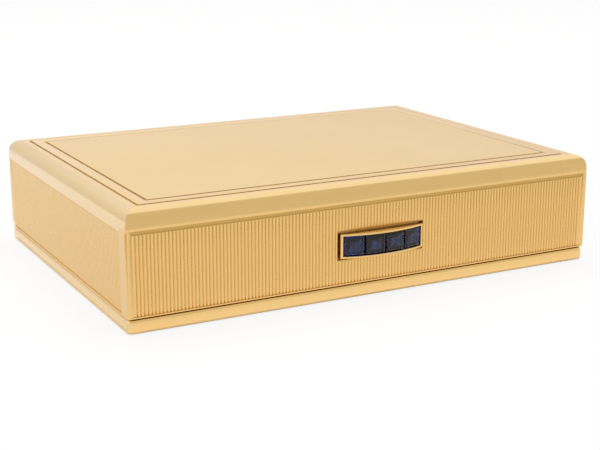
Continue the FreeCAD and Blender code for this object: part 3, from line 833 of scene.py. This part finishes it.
def make_top(polished, satin):
    """The framing band and the field of the hood's top, each with a rolled edge."""
    outer, inner = OUTER_LINE + LINE_WIDTH / 2, INNER_LINE - LINE_WIDTH / 2
    profile = [(OUTER_LINE + LINE_GAP / 2, TOP_UNDERSIDE)] + rolled(outer, 1, TIGHT_EDGE)
    profile += list(reversed(rolled(inner, -1, GENTLE_EDGE)))
    profile.append((INNER_LINE - LINE_GAP / 2, TOP_UNDERSIDE))
    band = lofted("top_band", [plan_ring(*point) for point in profile], joined=True)
    mark_hollow(band, line_hollow)
    new_piece("top_band", band, "lid", ["fillet_frame"], polished)
    edge = INNER_LINE + LINE_WIDTH / 2
    profile = [(INNER_LINE + LINE_GAP / 2, TOP_UNDERSIDE)] + rolled(edge, 1, TIGHT_EDGE)
    field = lofted("top_field", [plan_ring(*point) for point in profile])
    mark_hollow(field, line_hollow)
    new_piece("top_field", field, "lid", ["top_panel"], satin)


def reeded_mesh(name, side, body_box, hole=None):
    """A closed plate with a face of upright half-round reeds whose ends are rounded over."""
    low, high = body_box
    lengthwise = side in ("front", "back")
    axis, run = (1, 0) if lengthwise else (0, 1)
    start, stop = low[run], high[run]
    crest, bed = (low, high) if side in ("front", "left") else (high, low)
    crest, bed = crest[axis], bed[axis]
    inward = 1.0 if bed > crest else -1.0
    reed_end = REED_END if lengthwise else SIDE_REED_END
    count = round((stop - start) / REED_PITCH)
    pitch = (stop - start) / count

    columns = [start + pitch * (index / REED_STEPS) for index in range(count * REED_STEPS + 1)]
    rows = [low.z + reed_end * step for step in REED_EASE]
    rows += [high.z - reed_end * step for step in reversed(REED_EASE)]
    if hole:
        slot_ends, (slot_foot, slot_head) = hole
        kept = [c for c in columns if min(abs(c - end) for end in slot_ends) > SAME_COLUMN]
        columns = sorted(kept + list(slot_ends))
        rows += [slot_foot - SLOT_END * step for step in reversed(REED_EASE)]
        rows += [slot_head + SLOT_END * step for step in REED_EASE]
        rows.sort()

    def depth(along, z):
        phase = ((along - start) / pitch) % 1.0
        across = 2 * phase - 1
        if min(along - start, stop - along) < pitch / 2:
            across = 0.0
        reed = REED_RISE * (1 - across * across)
        share = min(1.0, min(z - low.z, high.z - z) / reed_end)
        if hole and slot_ends[0] - TOUCH <= along <= slot_ends[1] + TOUCH:
            slot_edge = slot_foot if z < (slot_foot + slot_head) / 2 else slot_head
            share = min(share, abs(z - slot_edge) / SLOT_END)
        return REED_RISE - reed * math.sqrt(max(0.0, 1 - (1 - share) ** 2))

    grid = bmesh.new()
    hollow = grid.verts.layers.float.new("hollow")
    points = {}
    for i, along in enumerate(columns):
        for j, z in enumerate(rows):
            sunk = depth(along, z)
            level = crest + inward * sunk
            place = (along, level, z) if lengthwise else (level, along, z)
            points[i, j] = grid.verts.new(place)
            # Painted shade: the deeper a point lies below the crests, in a valley or where a reed's
            # end rounds over, the darker it is painted.
            points[i, j][hollow] = sunk / REED_RISE
    for i in range(len(columns) - 1):
        for j in range(len(rows) - 1):
            if hole:
                middle = ((columns[i] + columns[i + 1]) / 2, (rows[j] + rows[j + 1]) / 2)
                if all(limit[0] < m < limit[1] for m, limit in zip(middle, hole)):
                    continue
            corners = (i, j), (i + 1, j), (i + 1, j + 1), (i, j + 1)
            grid.faces.new([points[corner] for corner in corners])
    for vertex in [v for v in grid.verts if not v.link_faces]:
        grid.verts.remove(vertex)

    rim = [edge for edge in grid.edges if edge.is_boundary]
    walls = bmesh.ops.extrude_edge_only(grid, edges=rim)["geom"]
    for vertex in [g for g in walls if isinstance(g, bmesh.types.BMVert)]:
        vertex.co[axis] = bed
        # The plate's sides and back are painted the near-black shade of the slot.
        vertex[hollow] = REED_BACK_LEVEL
    back = [edge for edge in grid.edges if edge.is_boundary]
    bmesh.ops.triangle_fill(grid, use_beauty=True, edges=back)
    return finished_mesh(grid, name)


def make_reeding(material):
    """The four reeded panels."""
    bezel_low, bezel_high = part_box("push_bezel")
    slot_hole = (
        (bezel_low.x - SLOT_MARGIN, bezel_high.x + SLOT_MARGIN),
        (bezel_low.z - SLOT_MARGIN, bezel_high.z + SLOT_MARGIN),
    )
    for side in SIDES:
        node = f"reeded_{side}"
        hole = slot_hole if side == "front" else None
        low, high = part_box(node)
        mesh = reeded_mesh(f"reeds_{side}", side, (low - UP * FIELD_DROP, high), hole)
        new_piece(f"reeds_{side}", mesh, "lid", [node], material)


def bow_level(x):
    """How far forward the push-piece's bowed face comes at a place along it."""
    return BOW_CENTRE - math.sqrt(BOW_RADIUS ** 2 - (x - PUSH_MIDDLE) ** 2)


def bezel_hollow(point):
    """How hollow the bezel is, for its painted shade: outside, from the slot's mouth in, and in its
    channel's bed, which is painted near-black.
    """
    past_x = PUSH_HALF[0] - abs(point.x - PUSH_MIDDLE)
    past_z = PUSH_HALF[1] - abs(point.z - PUSH_HEIGHT)
    if min(past_x, past_z) >= MARK_SLACK:
        return SLOT_LEVEL if point.y - bow_level(point.x) > CHANNEL_DARK else 0.0
    if point.y > SLOT_DARK - MARK_SLACK:
        return SLOT_LEVEL
    return MOUTH_LEVEL if point.y > SLOT_MOUTH - MARK_SLACK else 0.0


def make_bezel(material):
    """The bowed frame round the stones, with rounded rails and a channel for the stones."""
    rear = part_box("push_bezel")[1].y
    shares = [2 * index / BEZEL_STEPS - 1 for index in range(BEZEL_STEPS + 1)]

    def ring(share, drop, level=None):
        half_x = PUSH_HALF[0] - share * RAILS[0]
        half_z = PUSH_HALF[1] - share * RAILS[1]
        above = []
        for x in [PUSH_MIDDLE + half_x * part for part in shares]:
            above.append((x, bow_level(x) + drop if level is None else level, PUSH_HEIGHT + half_z))
        below = [(x, y, 2 * PUSH_HEIGHT - z) for x, y, z in reversed(above)]
        return above + below

    rings = [ring(0.0, 0.0, level) for level in (rear, SLOT_DARK, SLOT_MOUTH)]
    rings += [ring(share, drop * MM) for share, drop in BEZEL_SECTION]
    rings.append(ring(1.0, CHANNEL_DEPTH))
    mesh = lofted("bezel", rings, flat_ends=False)
    mark_hollow(mesh, bezel_hollow)
    new_piece("bezel", mesh, "push", ["push_bezel"], material)


def make_stones(material, backs):
    """The step-cut stones side by side on the bow."""
    centre = Vector((PUSH_MIDDLE, BOW_CENTRE, PUSH_HEIGHT))
    face = BOW_RADIUS - STONE_FACE - STONE_CROWN
    for index in range(STONE_COUNT):
        turn = (index - 1.5) * STONE_TURN
        outward = Vector((math.sin(turn), -math.cos(turn), 0.0))
        along = Vector((math.cos(turn), math.sin(turn), 0.0))
        rings = []
        for share, rise in STONE_SECTION:
            half_x = STONE_HALF[0] - (1 - share) * STONE_HALF[1]
            half_z = share * STONE_HALF[1]
            level = centre + outward * (face + rise * MM)
            ring = [level + along * (h * half_x) + UP * (v * half_z) for h, v in STONE_CORNERS]
            rings.append(ring)
        name = f"stone_{index + 1}"
        mesh = lofted(name, rings)
        new_piece(name, mesh, "push", [f"sapphire_{index + 1}"], material)
        for back in backs:
            mesh.materials.append(back)
        for polygon in mesh.polygons:
            polygon.use_smooth = False
            rise = ((polygon.center - centre).dot(outward) - face) / MM
            is_blue = rise > BLUE_FROM[index]
            polygon.material_index = 0 if rise > GLASS_FROM else 1 if is_blue else 2


def leaf_side(inset, start, stop):
    """One face of the latch's leaf, in even steps from one height to another."""
    steps = range(LEAF_STEPS + 1)
    return [(inset, start + (stop - start) * index / LEAF_STEPS) for index in steps]


def make_latch_spring(material):
    """The latch's leaf, hanging from its top, with a hook lower down."""
    low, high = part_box("latch_spring")
    hook = [(inset * MM, height * MM) for inset, height in HOOK]
    back = leaf_side(LEAF_BACK, high.z, hook[0][1])
    front = leaf_side(LEAF_FRONT, hook[-1][1], high.z)
    section = [(inset - HALF_DEPTH, height) for inset, height in back + hook + front]
    mesh = lofted("latch_leaf", [[(x, *point) for point in section] for x in (low.x, high.x)])
    piece = bpy.data.objects.new("latch_leaf", mesh)
    bpy.context.scene.collection.objects.link(piece)
    mesh.materials.clear()
    mesh.materials.append(material)
    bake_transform(piece)
    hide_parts("latch_spring")


def main():
    """Build the studio, the finishes and the pieces."""
    make_camera()
    make_studio()
    polished = gold("gold_polished", GOLD, (0.12, 0.24), EVEN_GRAIN, 0.4e-6)
    satin = gold("gold_satin", SATIN_GOLD, (0.30, 0.42), SATIN_GRAIN, 1.0e-6, shade_and_grime=LINE_SHADE_AND_GRIME)
    reeded = reeded_gold()
    glass = sapphire_glass()
    spring = gold("spring_steel", STEEL, (0.22, 0.36), SPRING_GRAIN, 0.5e-6, STEEL_SHADE_AND_TARNISH)
    finish_nodes(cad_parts, polished)
    finish_nodes(["lid_plate", "floor_plate"], satin)
    finish_nodes(["latch_spring", "hinge_pin"], spring)
    lined = gold("gold_lined", GOLD, (0.12, 0.24), EVEN_GRAIN, 0.4e-6, shade_and_grime=LINE_SHADE_AND_GRIME)
    make_shell(polished, lined)
    make_top(lined, satin)
    make_reeding(reeded)
    make_bezel(polished)
    blue = stone_back("stone_flash", *BLUE_FLASH_BACK)
    navy = stone_back("stone_depth", *NAVY_BACK)
    make_stones(glass, [blue, navy])
    make_latch_spring(spring)
    bpy.context.scene.view_settings.view_transform = "Standard"


main()
